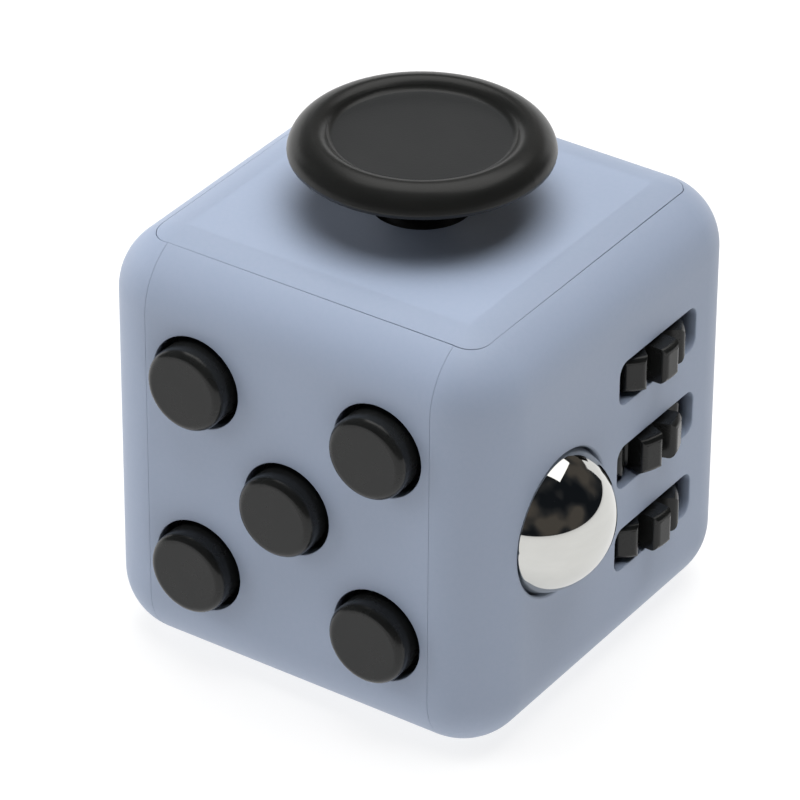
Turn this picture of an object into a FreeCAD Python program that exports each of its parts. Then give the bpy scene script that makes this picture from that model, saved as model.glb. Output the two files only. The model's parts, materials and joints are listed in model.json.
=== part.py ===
"""A six-sided hand toy: a rounded cube with a different control on each face.

The frame is the cube's own. +Z is up, -Y is the face with five buttons, +X the face with the
ball and the gears, +Z the joystick, +Y the spinning dial, -X the rocker switch and -Z a shallow
dish for the thumb. The origin is the middle of the base. Sizes are in millimetres. Places are
given from the cube's centre, and place() lifts them by half a cube.
"""
import FreeCAD, Part
import math
import os

import Sketcher
from FreeCAD import Placement, Rotation, Vector

SIZES = {
    # housing
    "cube": 33.0,
    "edge_round": 5.0,
    "wall": 2.2,
    "inner_round": 4.0,
    "seam": 0.05,
    "lid_gap": 0.02,
    "fit_play": 0.1,
    "bite": 0.5,
    "lid_half": 13.65,
    "lid_corner": 1.7,
    "lid_thickness": 2.0,
    "opening_half": 12.85,
    "rim_depth": 1.2,
    "rim_thickness": 1.2,
    "side_seam": 11.8,
    "side_gap": 0.01,
    "end_start": 10.0,
    "lap": 1.0,
    "lap_depth": 1.1,
    "boss_radius": 1.6,
    "lid_boss_radius": 1.5,
    # screws
    "shank_radius": 0.7,
    "pilot_radius": 0.73,
    "screw_hole": 0.85,
    "head_radius": 1.4,
    "head_height": 0.9,
    "head_edge": 0.3,
    "screw_tip": 0.5,
    "pilot_length": 4.2,
    "engagement": 2.4,
    # buttons
    "button_pitch": 7.57,
    "button_hole": 3.55,
    "cap_radius": 3.12,
    "cap_proud": 1.6,
    "cap_edge": 0.6,
    "flange_radius": 4.0,
    "flange_thickness": 0.8,
    "relief_radius": 4.2,
    "relief_depth": 1.5,
    "plunger_radius": 1.2,
    "plunger_length": 0.95,
    "dome_radius": 3.3,
    "dome_height": 0.9,
    "dome_sheet": 0.2,
    "silicone_sheet": 0.42,
    "plate_depth": 5.0,
    "plate_thickness": 1.4,
    "plate_half": 11.2,
    "plate_corner": 2.0,
    "plate_screw": 8.6,
    "notch_radius": 6.53,
    # joystick, heights above the lid
    "pivot_depth": 3.5,
    "stick_hole": 3.6,
    "stick_radius": 9.36,
    "stick_height": 5.975,
    "stick_recess": 5.36,
    "stick_crest": 7.75,
    "crest_round": 1.1,
    "shoulder_round": 1.87,
    "stick_side": 4.45,
    "stick_under": 3.95,
    "stick_seat": 3.35,
    "under_round": 0.45,
    "recess_radius": 6.25,
    "recess_bend": 0.7,
    "recess_flare": 0.45,
    "recess_step": 0.3,
    "under_step": 0.42,
    "neck_radius": 2.2,
    "core_radius": 1.6,
    "core_top": 4.4,
    "skirt_radius": 3.75,
    "skirt_edge": 3.25,
    "shaft_radius": 1.25,
    "foot_radius": 2.2,
    "foot_depth": 4.2,
    "foot_thickness": 0.6,
    "gimbal_inner": 2.0,
    "gimbal_outer": 3.2,
    "gimbal_half": 0.7,
    "trunnion_radius": 0.5,
    "cross_pin_radius": 0.45,
    "pin_clearance": 0.05,
    "pin_edge": 0.12,
    "spring_gap": 0.03,
    "cup_inner": 4.1,
    "cup_outer": 5.6,
    "cup_depth": 8.0,
    "cup_floor": 1.1,
    "flange_low": 1.9,
    "flange_high": 0.8,
    "flange_reach": 6.6,
    "ear_offset": 5.25,
    "ear_radius": 1.8,
    "coil_radius": 1.7,
    "wire_radius": 0.2,
    "coil_turns": 3.5,
    # ball
    "ball_radius": 5.556,
    "ball_inset": 2.06,
    "ball_side": 7.03,
    "ball_lip": 5.45,
    "ball_relief": 5.68,
    "ball_lip_edge": 5.58,
    "lip_chamfer": 0.12,
    "seat_radius": 5.62,
    "seat_outer": 6.28,
    "seat_edge": 1.9,
    "pad_radius": 1.2,
    "peg_radius": 0.6,
    "peg_offset": 4.2,
    "peg_reach": 0.9,
    "peg_bite": 0.3,
    "running_play": 0.06,
    "click_radius": 2.6,
    "click_height": 0.6,
    # gears
    "gear_radius": 4.7,
    "gear_root": 3.1,
    "gear_thickness": 2.8,
    "gear_pitch": 6.93,
    "gear_lift": 0.25,
    "tooth_tip": 1.85,
    "tooth_foot": 1.95,
    "tooth_round": 0.45,
    "tooth_bite": 0.4,
    "gear_bore": 0.81,
    "axle_radius": 0.75,
    "axle_x": 13.1,
    "axle_y": 5.1,
    "axle_end": 0.8,
    "axle_edge": 0.2,
    "axle_head": 0.5,
    "clip_thickness": 0.4,
    "press_play": 0.02,
    "slot_half": 5.0,
    "slot_height": 3.45,
    "slot_corner": 0.9,
    "spacer_radius": 1.1,
    "gear_play": 0.1,
    "bracket_x": 5.9,
    "bracket_thickness": 1.2,
    "bracket_front": 9.0,
    "bracket_back": 13.2,
    "bracket_half": 9.9,
    "bracket_corner": 1.2,
    "ear_thickness": 1.2,
    "ear_half": 2.5,
    "ear_reach": 8.3,
    "screw_back_y": 11.4,
    "screw_back_z": 3.4,
    "screw_front_y": 7.0,
    "screw_front_z": 8.2,
    # dial
    "recess_wall": 9.2,
    "recess_depth": 1.4,
    "dial_radius": 9.0,
    "dial_thickness": 1.3,
    "dial_floor": 3.0,
    "dial_pad_radius": 10.4,
    "dial_shaft": 1.8,
    "dial_bore": 1.86,
    "dial_edge": 0.35,
    "dial_play": 0.15,
    "dial_face": 0.6,
    "nub_radius": 1.8,
    "nub_offset": 5.9,
    "nub_round": 1.1,
    "washer_radius": 3.2,
    "washer_thickness": 0.5,
    # rocker
    "rocker_slot_half": 8.5,
    "rocker_slot_width": 7.0,
    "rocker_width": 6.4,
    "rocker_pivot": 3.2,
    "rocker_reach": 8.3,
    "rocker_proud": 3.496,
    "rocker_corner": 0.4,
    "rocker_waist": 3.9,
    "rocker_pin": 0.8,
    "rocker_foot": 92.0,
    "rocker_hub": 1.6,
    "hub_half": 2.0,
    "rocker_nose": 2.2,
    "nose_half": 0.7,
    "nose_round": 0.8,
    "cheek_inner": 3.6,
    "cheek_outer": 4.8,
    "cheek_half": 2.6,
    "strap_half": 2.4,
    "strap_reach": 12.3,
    "strap_x": 8.3,
    "strap_thickness": 1.0,
    "rocker_screw": 10.9,
    "leaf_thickness": 0.25,
    "leaf_half": 4.0,
    "leaf_rise": 1.3,
    "leaf_width": 3.0,
    # dish
    "dish_radius": 10.0,
    "dish_depth": 2.6,
    "dish_lip": 1.6,
}

REACH = 60.0        # long enough to pass right through the cube
RUN = 1.0           # how far a cutter or a boss runs past the face it meets
TINY = 1e-6         # the least volume or length that counts
NEAR = 0.01         # how close two sizes are when they are taken as one
TEETH = 9           # on each gear
LID_SKEW = 0.1      # degrees the top lid sits turned in its opening
GEAR_PHASE = {      # degrees each gear has rolled to
    "upper_gear": -2.0,
    "middle_gear": 18.0,
    "lower_gear": -5.0,
}
TOWARD = {
    "+Z": Rotation(Vector(1, 0, 0), Vector(0, 1, 0), Vector(0, 0, 1), "ZXY"),
    "-Z": Rotation(Vector(1, 0, 0), Vector(0, -1, 0), Vector(0, 0, -1), "ZXY"),
    "+X": Rotation(Vector(0, 1, 0), Vector(0, 0, 1), Vector(1, 0, 0), "ZXY"),
    "-X": Rotation(Vector(0, -1, 0), Vector(0, 0, 1), Vector(-1, 0, 0), "ZXY"),
    "+Y": Rotation(Vector(-1, 0, 0), Vector(0, 0, 1), Vector(0, 1, 0), "ZXY"),
    "-Y": Rotation(Vector(1, 0, 0), Vector(0, 0, 1), Vector(0, -1, 0), "ZXY"),
}


class Size:
    """A number together with the sheet expression that gives it."""

    def __init__(self, number, text=None):
        self.number = float(number)
        self.text = text or f"({self.number})"

    def __add__(self, other):
        other = size(other)
        return Size(self.number + other.number, f"({self.text} + {other.text})")

    def __sub__(self, other):
        other = size(other)
        return Size(self.number - other.number, f"({self.text} - {other.text})")

    def __mul__(self, other):
        other = size(other)
        return Size(self.number * other.number, f"({self.text} * {other.text})")

    def __truediv__(self, other):
        other = size(other)
        return Size(self.number / other.number, f"({self.text} / {other.text})")

    def __radd__(self, other):
        return size(other) + self

    def __rsub__(self, other):
        return size(other) - self

    def __neg__(self):
        return Size(-self.number, f"(0 - {self.text})")


def size(value):
    return value if isinstance(value, Size) else Size(value)


def root(value):
    """The square root of a Size."""
    return Size(math.sqrt(value.number), f"sqrt({value.text})")


def leg(hypotenuse, other_leg):
    """The third side of a right triangle: how high a sphere stands at a given radius."""
    return root(hypotenuse * hypotenuse - size(other_leg) * other_leg)


class Sheet:
    """The spreadsheet of driving sizes. Each one is read as an attribute."""

    def __init__(self, document, sizes):
        table = document.addObject("Spreadsheet::Sheet", "Sizes")
        for row, (name, number) in enumerate(sizes.items(), start=1):
            table.set(f"A{row}", name)
            table.set(f"B{row}", str(number))
            table.setAlias(f"B{row}", name)
            setattr(self, name, Size(number, f"Sizes.{name}"))


doc = FreeCAD.newDocument("FidgetCube")
s = Sheet(doc, SIZES)
doc.recompute()
HALF = s.cube / 2
NODES = []


# Helpers: binding, placing and the Part primitives.

def bind(thing, prop, value):
    """Sets a property through a sheet expression."""
    thing.setExpression(prop, size(value).text)


def place(thing, centre, toward="+Z", spin=0.0):
    """Puts a thing's own origin at a point from the cube's centre, its own +Z turned toward a face.

    On a side face its own X then points right and its own Y up, seen from outside the face.
    """
    turn = Rotation(Vector(0, 0, 1), spin)
    thing.Placement = Placement(Vector(), TOWARD[toward] * turn)
    x, y, z = centre
    bind(thing, "Placement.Base.x", x)
    bind(thing, "Placement.Base.y", y)
    bind(thing, "Placement.Base.z", z + HALF)


def node(thing, name):
    """Marks a finished piece, which gets a file of its own."""
    thing.Label = name
    NODES.append(thing)
    return thing


def box(name, low, high):
    """A block between two corners given from the cube's centre."""
    block = doc.addObject("Part::Box", name)
    for prop, start, end in zip(("Length", "Width", "Height"), low, high):
        bind(block, prop, size(end) - start)
    place(block, low)
    return block


def drum(name, base, radius, height, toward="+Z"):
    """A cylinder that stands on a point and runs toward a face."""
    cylinder = doc.addObject("Part::Cylinder", name)
    bind(cylinder, "Radius", radius)
    bind(cylinder, "Height", height)
    place(cylinder, base, toward)
    return cylinder


def sphere(name, centre, radius):
    ball = doc.addObject("Part::Sphere", name)
    bind(ball, "Radius", radius)
    place(ball, centre)
    return ball


def fuse(name, shapes):
    joined = doc.addObject("Part::MultiFuse", name)
    joined.Shapes = shapes
    return joined


def common(name, shapes):
    shared = doc.addObject("Part::MultiCommon", name)
    shared.Shapes = shapes
    return shared


def cut(name, base, tool):
    """The base less the tool. The tool has to take something away."""
    rest = doc.addObject("Part::Cut", name)
    rest.Base = base
    rest.Tool = tool
    doc.recompute()
    if rest.Shape.Volume > base.Shape.Volume - TINY:
        raise RuntimeError(f"{name} cuts nothing")
    return rest


def rounded(name, block, radius, along=None):
    """A block with its edges rounded: all of them, or only those along one axis."""
    doc.recompute()
    chosen = []
    for index, edge in enumerate(block.Shape.Edges, start=1):
        run = edge.Vertexes[1].Point - edge.Vertexes[0].Point
        if along is None or abs(run.dot(along)) > TINY:
            chosen.append((index, radius.number, radius.number))
    fillet = doc.addObject("Part::Fillet", name)
    fillet.Base = block
    fillet.Edges = chosen
    return fillet


def rounded_rim(name, base, rim_radius, radius):
    """A piece with the circular edge of one radius rounded."""
    doc.recompute()
    chosen = []
    for index, edge in enumerate(base.Shape.Edges, start=1):
        span = edge.BoundBox
        level = span.ZLength < NEAR
        if level and abs(span.XLength / 2 - rim_radius.number) < NEAR:
            chosen.append((index, radius.number, radius.number))
    fillet = doc.addObject("Part::Fillet", name)
    fillet.Base = base
    fillet.Edges = chosen
    return fillet


# Helpers: PartDesign bodies.

def new_body(name):
    return doc.addObject("PartDesign::Body", name)


def new_sketch(body, name, plane="XY", offset=0.0):
    """A sketch on one of the body's own origin planes, moved along the plane's normal."""
    sketch = body.newObject("Sketcher::SketchObject", name)
    support = [f for f in body.Origin.OriginFeatures if f.Role == f"{plane}_Plane"][0]
    sketch.AttachmentSupport = [(support, "")]
    sketch.MapMode = "FlatFace"
    bind(sketch, "AttachmentOffset.Base.z", offset)
    return sketch


def dimension(sketch, kind, geometry, point, value):
    """Dimensions a point from the sketch's own origin."""
    index = sketch.addConstraint(Sketcher.Constraint(kind, -1, 1, geometry, point, value.number))
    sketch.setExpression(f"Constraints[{index}]", value.text)


def arc_between(start, end, radius):
    """The minor arc from start to end: to the left of the way for a positive radius."""
    chord = end - start
    across = Vector(-chord.y, chord.x, 0)
    across.normalize()
    side = math.copysign(1.0, radius)
    sag = math.sqrt(radius ** 2 - (chord.Length / 2) ** 2)
    centre = (start + end) / 2 + across * (side * sag)
    middle = centre - across * (side * abs(radius))
    return Part.Arc(start, middle, end)


def outline(sketch, corners):
    """A closed outline. A corner is (x, y), or (x, y, radius) where an arc runs to the next one.

    Every corner is dimensioned from the origin, and every arc by its radius, which is positive
    where the arc turns left.
    """
    corners = [tuple(size(value) for value in corner) for corner in corners]
    places = [Vector(corner[0].number, corner[1].number, 0) for corner in corners]
    first = sketch.GeometryCount
    ends = []
    for index, corner in enumerate(corners):
        start = places[index]
        end = places[(index + 1) % len(places)]
        if len(corner) == 3:
            sketch.addGeometry(arc_between(start, end, corner[2].number), False)
            ends.append((1, 2) if corner[2].number > 0 else (2, 1))
        else:
            sketch.addGeometry(Part.LineSegment(start, end), False)
            ends.append((1, 2))
    for index, corner in enumerate(corners):
        following = (index + 1) % len(corners)
        sketch.addConstraint(Sketcher.Constraint("Coincident", first + index, ends[index][1],
                                                 first + following, ends[following][0]))
        dimension(sketch, "DistanceX", first + index, ends[index][0], corner[0])
        dimension(sketch, "DistanceY", first + index, ends[index][0], corner[1])
        if len(corner) == 3:
            radius = corner[2] if corner[2].number > 0 else -corner[2]
            bend = sketch.addConstraint(Sketcher.Constraint("Radius", first + index, radius.number))
            sketch.setExpression(f"Constraints[{bend}]", radius.text)


def circles(sketch, centres, radius):
    """Circles of one radius, each with its centre dimensioned from the origin."""
    radius = size(radius)
    for x, y in centres:
        x, y = size(x), size(y)
        index = sketch.GeometryCount
        ring = Part.Circle(Vector(x.number, y.number, 0), Vector(0, 0, 1), radius.number)
        sketch.addGeometry(ring, False)
        dimension(sketch, "DistanceX", index, 3, x)
        dimension(sketch, "DistanceY", index, 3, y)
        bend = sketch.addConstraint(Sketcher.Constraint("Radius", index, radius.number))
        sketch.setExpression(f"Constraints[{bend}]", radius.text)


def turn_section(body, name, section):
    """Turns a half section, given as (radius, height) corners, about the body's own Z."""
    sketch = new_sketch(body, f"{name}_section", "XZ")
    outline(sketch, section)
    turn = body.newObject("PartDesign::Revolution", f"{name}_turn")
    turn.Profile = sketch
    turn.ReferenceAxis = (sketch, ["V_Axis"])
    turn.Angle = 360
    return turn


def turned(name, section, centre, toward="+Z", spin=0.0):
    """A round body."""
    body = new_body(name)
    turn_section(body, name, section)
    place(body, centre, toward, spin)
    return body


def pad(body, name, draw, low, high):
    """Adds what draw() puts in a sketch, between two heights."""
    sketch = new_sketch(body, f"{name}_sketch", "XY", low)
    draw(sketch)
    block = body.newObject("PartDesign::Pad", name)
    block.Profile = sketch
    bind(block, "Length", size(high) - low)
    return block


def pocket(body, name, draw, low, high, plane="XY"):
    """Takes away what draw() puts in a sketch, between two heights, and checks that it cut."""
    doc.recompute()
    before = body.Shape.Volume
    sketch = new_sketch(body, f"{name}_sketch", plane, high)
    draw(sketch)
    hollow = body.newObject("PartDesign::Pocket", name)
    hollow.Profile = sketch
    bind(hollow, "Length", size(high) - low)
    doc.recompute()
    if body.Shape.Volume > before - TINY:
        raise RuntimeError(f"{name} cuts nothing")
    return hollow


def holes(body, name, centres, radius, low, high, plane="XY"):
    """Round holes through a body between two heights."""
    return pocket(body, name, lambda sketch: circles(sketch, centres, radius), low, high, plane)


def bar(x_low, y_low, x_high, y_high, corner=None):
    """The corners of a rectangle, square or rounded, going round to the left."""
    if corner is None:
        return [(x_low, y_low), (x_high, y_low), (x_high, y_high), (x_low, y_high)]
    return [(x_low + corner, y_low), (x_high - corner, y_low, corner),
            (x_high, y_low + corner), (x_high, y_high - corner, corner),
            (x_high - corner, y_high), (x_low + corner, y_high, corner),
            (x_low, y_high - corner), (x_low, y_low + corner, corner)]


def group(name, bodies):
    """Several separate solids that make one node."""
    together = doc.addObject("Part::Compound", name)
    together.Links = bodies
    return node(together, name)


def screw(name, seat, toward):
    """A pan-head screw whose head seats at a point, its shank running toward a face."""
    top = s.head_height
    edge = s.head_edge
    section = [(0, -top), (s.head_radius - edge, -top, edge), (s.head_radius, edge - top),
               (s.head_radius, 0), (s.shank_radius, 0), (s.shank_radius, s.engagement),
               (0, s.engagement + s.screw_tip)]
    return turned(name, section, seat, toward)


def screws(name, seats, toward):
    return group(name, [screw(f"{name}_{i}", seat, toward) for i, seat in enumerate(seats, start=1)])


# Housing: four walls and two lids, all cut from one hollow rounded cube.

def cube_block(name, half, radius):
    block = box(f"{name}_block", (-half, -half, -half), (half, half, half))
    return rounded(name, block, radius)


def lid_plug(name, half, low, high):
    """An upright square prism with the lid's rounded corners."""
    block = box(f"{name}_block", (-half, -half, low), (half, half, high))
    return rounded(name, block, s.lid_corner, Vector(0, 0, 1))


def square_rim(name, low, high):
    """The upright rim inside a lid that centres it in its opening."""
    outer = s.opening_half - s.fit_play
    inner = outer - s.rim_thickness
    return cut(name, lid_plug(f"{name}_outer", outer, low, high),
               lid_plug(f"{name}_inner", inner, low - RUN, high + RUN))


def window(name, low, high, corner):
    """A rounded window through a wall that faces along X."""
    return rounded(name, box(f"{name}_block", low, high), corner, Vector(1, 0, 0))


OUTER = cube_block("outer_cube", HALF, s.edge_round)
INNER = cube_block("inner_cube", HALF - s.wall, s.inner_round)
LID_FLOOR = HALF - s.lid_thickness
WALLS = cut("walls", cut("hollow_cube", OUTER, INNER), fuse("lid_openings", [
    lid_plug("top_seat", s.lid_half + s.lid_gap, LID_FLOOR - s.seam, HALF + RUN),
    lid_plug("bottom_seat", s.lid_half + s.lid_gap, -HALF - RUN, s.seam - LID_FLOOR),
    lid_plug("through_opening", s.opening_half, -HALF - RUN, HALF + RUN)]))
LAP_LAYER = cube_block("lap_layer", HALF - s.lap_depth, s.edge_round - s.lap_depth)
TONGUE_LAYER = cube_block("tongue_layer", HALF - s.lap_depth - s.seam, s.edge_round - s.lap_depth - s.seam)


def side_wall(name, sign):
    """The wall on the left (-1) or right (+1), with both upright rounded edges."""
    reach = s.side_seam + s.side_gap
    if sign > 0:
        region = box(f"{name}_region", (reach, -REACH, -REACH), (REACH, REACH, REACH))
        step = box(f"{name}_step", (reach - RUN, -REACH, -REACH), (reach + s.lap, REACH, REACH))
    else:
        region = box(f"{name}_region", (-REACH, -REACH, -REACH), (-reach, REACH, REACH))
        step = box(f"{name}_step", (-reach - s.lap, -REACH, -REACH), (RUN - reach, REACH, REACH))
    rebate = common(f"{name}_rebate", [LAP_LAYER, step])
    return cut(f"{name}_wall", common(f"{name}_side", [WALLS, region]), rebate)


def end_wall(name, sign):
    """The wall at the front (-1) or back (+1), which laps behind the side walls' edges."""
    reach = s.side_seam - s.side_gap
    inner = s.side_seam + s.lap - s.seam
    low, high = (-REACH, -s.end_start) if sign < 0 else (s.end_start, REACH)
    face = box(f"{name}_face", (-reach, low, -REACH), (reach, high, REACH))
    band = box(f"{name}_band", (-inner, low, -REACH), (inner, high, REACH))
    tongue = common(f"{name}_tongue", [TONGUE_LAYER, band])
    return common(f"{name}_wall", [WALLS, fuse(f"{name}_region", [face, tongue])])


BUTTONS = {
    "centre": (0, 0),
    "upper_left": (-s.button_pitch, s.button_pitch),
    "upper_right": (s.button_pitch, s.button_pitch),
    "lower_left": (-s.button_pitch, -s.button_pitch),
    "lower_right": (s.button_pitch, -s.button_pitch),
}
SILENT_BUTTONS = ("upper_left", "lower_right")
PLATE_SCREWS = [(0, s.plate_screw), (0, -s.plate_screw), (-s.plate_screw, 0)]
EARS = [(i * s.ear_offset, j * s.ear_offset) for i in (size(-1), size(1)) for j in (size(-1), size(1))]
BRACKET_SCREWS = [(s.screw_back_y, s.screw_back_z), (s.screw_back_y, -s.screw_back_z),
                  (-s.screw_front_y, s.screw_front_z), (-s.screw_front_y, -s.screw_front_z)]
BALL = (HALF - s.ball_inset, -s.ball_side, size(0))
GEARS = {"upper_gear": s.gear_lift + s.gear_pitch, "middle_gear": s.gear_lift,
         "lower_gear": s.gear_lift - s.gear_pitch}
BRACKET_FACE = s.bracket_x + s.bracket_thickness
PIVOT_X = s.rocker_pivot - HALF
PIVOT_Z = HALF - s.pivot_depth


def front_panel():
    """The button face: five holes, and three bosses that carry the backing plate."""
    plate_face = s.plate_depth - HALF
    bosses = [drum(f"plate_boss_{i}", (x, plate_face, z), s.boss_radius, s.plate_depth - RUN, "-Y")
              for i, (x, z) in enumerate(PLATE_SCREWS, start=1)]
    pilots = [drum(f"plate_pilot_{i}", (x, plate_face + RUN, z), s.pilot_radius,
                   s.pilot_length, "-Y")
              for i, (x, z) in enumerate(PLATE_SCREWS, start=1)]
    openings = [drum(f"button_hole_{key}", (x, s.wall + RUN - HALF, z), s.button_hole,
                     s.wall + RUN * 2, "-Y")
                for key, (x, z) in BUTTONS.items()]
    reliefs = [drum(f"flange_relief_{key}", (x, s.wall - HALF, z), s.relief_radius, s.relief_depth, "+Y")
               for key, (x, z) in BUTTONS.items()]
    blank = fuse("front_panel_blank", [end_wall("front_panel", -1)] + bosses)
    return node(cut("front_panel_part", blank, fuse("front_panel_holes", openings + pilots + reliefs)),
                "front_panel")


def back_panel():
    """The dial face: a round recess with a thicker floor behind it and a bore for the shaft."""
    floor = HALF - s.dial_floor
    pad_behind = drum("dial_pad", (0, floor, 0), s.dial_pad_radius, s.dial_floor - RUN, "+Y")
    recess = drum("dial_recess", (0, HALF - s.recess_depth, 0), s.recess_wall, s.recess_depth + RUN, "+Y")
    bore = drum("dial_bore", (0, floor - RUN, 0), s.dial_bore, s.dial_floor + RUN * 2, "+Y")
    blank = fuse("back_panel_blank", [end_wall("back_panel", 1), pad_behind])
    return node(cut("back_panel_part", blank, fuse("back_panel_holes", [recess, bore])), "back_panel")


def right_shell():
    """The roll face: a lipped spherical seat for the ball, three gear slots and four bosses."""
    rim = doc.addObject("Part::Cone", "ball_lip_edge")
    bind(rim, "Radius1", s.ball_lip)
    bind(rim, "Radius2", s.ball_lip_edge)
    bind(rim, "Height", s.lip_chamfer + NEAR)
    place(rim, (HALF - s.lip_chamfer, BALL[1], BALL[2]), "+X")
    openings = [rim, sphere("ball_relief", BALL, s.ball_relief),
                drum("ball_mouth", BALL, s.ball_lip, s.ball_inset + RUN, "+X")]
    for name, z in GEARS.items():
        low = (s.axle_x, s.axle_y - s.slot_half, z - s.slot_height / 2)
        high = (HALF + RUN, s.axle_y + s.slot_half, z + s.slot_height / 2)
        openings.append(window(f"{name}_slot", low, high, s.slot_corner))
    bosses = []
    for i, (y, z) in enumerate(BRACKET_SCREWS, start=1):
        bosses.append(drum(f"bracket_boss_{i}", (BRACKET_FACE, y, z), s.boss_radius,
                           HALF - RUN - BRACKET_FACE, "+X"))
        openings.append(drum(f"bracket_pilot_{i}", (BRACKET_FACE - RUN, y, z), s.pilot_radius,
                             s.pilot_length, "+X"))
    blank = fuse("right_shell_blank", [side_wall("right_shell", 1)] + bosses)
    return node(cut("right_shell_part", blank, fuse("right_shell_holes", openings)), "right_shell")


def left_shell():
    """The flip face: one tall window for the rocker and two bosses for its bracket."""
    strap_face = s.strap_x + s.strap_thickness
    across = s.rocker_slot_width / 2
    openings = [window("rocker_window", (-HALF - RUN, -across, -s.rocker_slot_half),
                       (s.wall + RUN - HALF, across, s.rocker_slot_half), s.rocker_corner)]
    bosses = []
    for i, z in enumerate((s.rocker_screw, -s.rocker_screw), start=1):
        bosses.append(drum(f"rocker_boss_{i}", (-strap_face, 0, z), s.boss_radius,
                           HALF - RUN - strap_face, "-X"))
        openings.append(drum(f"rocker_pilot_{i}", (RUN - strap_face, 0, z), s.pilot_radius,
                             s.pilot_length, "-X"))
    blank = fuse("left_shell_blank", [side_wall("left_shell", -1)] + bosses)
    return node(cut("left_shell_part", blank, fuse("left_shell_holes", openings)), "left_shell")


def top_lid():
    """The joystick's lid: a rounded square plate with a round hole and four bosses below."""
    half = s.lid_half - s.lid_gap
    plug = new_body("top_plug")
    pad(plug, "top_plug_block", lambda sk: outline(sk, bar(-half, -half, half, half, s.lid_corner)),
        LID_FLOOR, HALF + RUN)
    place(plug, (size(0), size(0), size(0)), "+Z", LID_SKEW)
    plate = common("top_plate", [OUTER, plug])
    rim = square_rim("top_rim", LID_FLOOR - s.rim_depth, LID_FLOOR + s.bite)
    foot = PIVOT_Z - s.flange_high
    bosses = [drum(f"lid_boss_{i}", (x, y, foot), s.lid_boss_radius, LID_FLOOR + s.bite - foot)
              for i, (x, y) in enumerate(EARS, start=1)]
    openings = [drum(f"lid_pilot_{i}", (x, y, foot - RUN), s.pilot_radius, s.pilot_length)
                for i, (x, y) in enumerate(EARS, start=1)]
    openings.append(drum("stick_opening", (0, 0, LID_FLOOR - RUN), s.stick_hole,
                         s.lid_thickness + RUN * 2))
    blank = fuse("top_lid_blank", [plate, rim] + bosses)
    return node(cut("top_lid_part", blank, fuse("top_lid_holes", openings)), "top_lid")


def bottom_lid():
    """The base: a plate with a shallow round dish, kept at an even thickness by a swelling inside."""
    bowl = (s.dish_radius * s.dish_radius + s.dish_depth * s.dish_depth) / (s.dish_depth * 2)
    middle = (size(0), size(0), s.dish_depth - HALF - bowl)
    plug = lid_plug("base_plug", s.lid_half - s.lid_gap, -HALF - RUN, -LID_FLOOR)
    plate = common("base_plate", [OUTER, plug])
    rim = square_rim("base_rim", -LID_FLOOR - s.bite, s.rim_depth - LID_FLOOR)
    swell = common("dish_swelling", [
        sphere("swelling_sphere", middle, bowl + s.lid_thickness),
        box("swelling_region", (-REACH, -REACH, -LID_FLOOR - s.bite), (REACH, REACH, 0))])
    blank = fuse("bottom_lid_blank", [plate, rim, swell])
    dished = cut("dished_lid", blank, sphere("dish_sphere", middle, bowl))
    return node(rounded_rim("bottom_lid_part", dished, s.dish_radius, s.dish_lip), "bottom_lid")


# Click: five sprung buttons over domes on a backing plate.

def button_cap(name, x, z):
    top = s.cap_proud
    under = -s.wall - s.seam
    flange = under - s.flange_thickness
    section = [(0, top), (s.cap_radius - s.cap_edge, top, -s.cap_edge), (s.cap_radius, top - s.cap_edge),
               (s.cap_radius, under), (s.flange_radius, under), (s.flange_radius, flange),
               (s.plunger_radius, flange), (s.plunger_radius, flange - s.plunger_length),
               (0, flange - s.plunger_length)]
    return node(turned(name, section, (x, -HALF, z), "-Y"), name)


def dome(name, radius, height, sheet, seat, toward):
    """A shallow domed disc that snaps inside out under a press."""
    bowl = (radius * radius + height * height) / (height * 2)
    inner = bowl - sheet
    edge = leg(inner, bowl - height)
    section = [(0, height - sheet, -inner), (edge, 0), (radius, 0, bowl), (0, height)]
    return node(turned(name, section, seat, toward), name)


def backing_plate():
    """The plate behind the buttons, notched round the ball's seat."""
    body = new_body("button_backing_plate")
    half = s.plate_half
    pad(body, "backing_slab", lambda sk: outline(sk, bar(-half, -half, half, half, s.plate_corner)),
        0, s.plate_thickness)
    holes(body, "backing_notch", [(BALL[0], 0)], s.notch_radius, 0, s.plate_thickness)
    holes(body, "backing_holes", PLATE_SCREWS, s.screw_hole, 0, s.plate_thickness)
    place(body, (0, s.plate_depth + s.plate_thickness - HALF, 0), "-Y")
    return node(body, "button_backing_plate")


# Glide: a rubber disc on a stem that tilts both ways in a gimbal.

def joystick_cap():
    lift = s.pivot_depth
    crest = s.stick_crest
    section = [(0, lift + s.stick_recess), (s.recess_radius, lift + s.stick_recess, s.recess_bend),
               (s.recess_radius + s.recess_flare, lift + s.stick_recess + s.recess_step, -s.crest_round),
               (crest, lift + s.stick_height, -s.shoulder_round),
               (s.stick_radius, lift + s.stick_side, -s.under_round),
               (s.stick_radius - s.under_step, lift + s.stick_under),
               (s.neck_radius + s.seam, lift + s.stick_seat), (s.core_radius + s.seam, lift + s.stick_seat),
               (s.core_radius + s.seam, lift + s.core_top + s.seam), (0, lift + s.core_top + s.seam)]
    return node(turned("joystick_cap", section, (0, 0, PIVOT_Z)), "joystick_cap")


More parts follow.
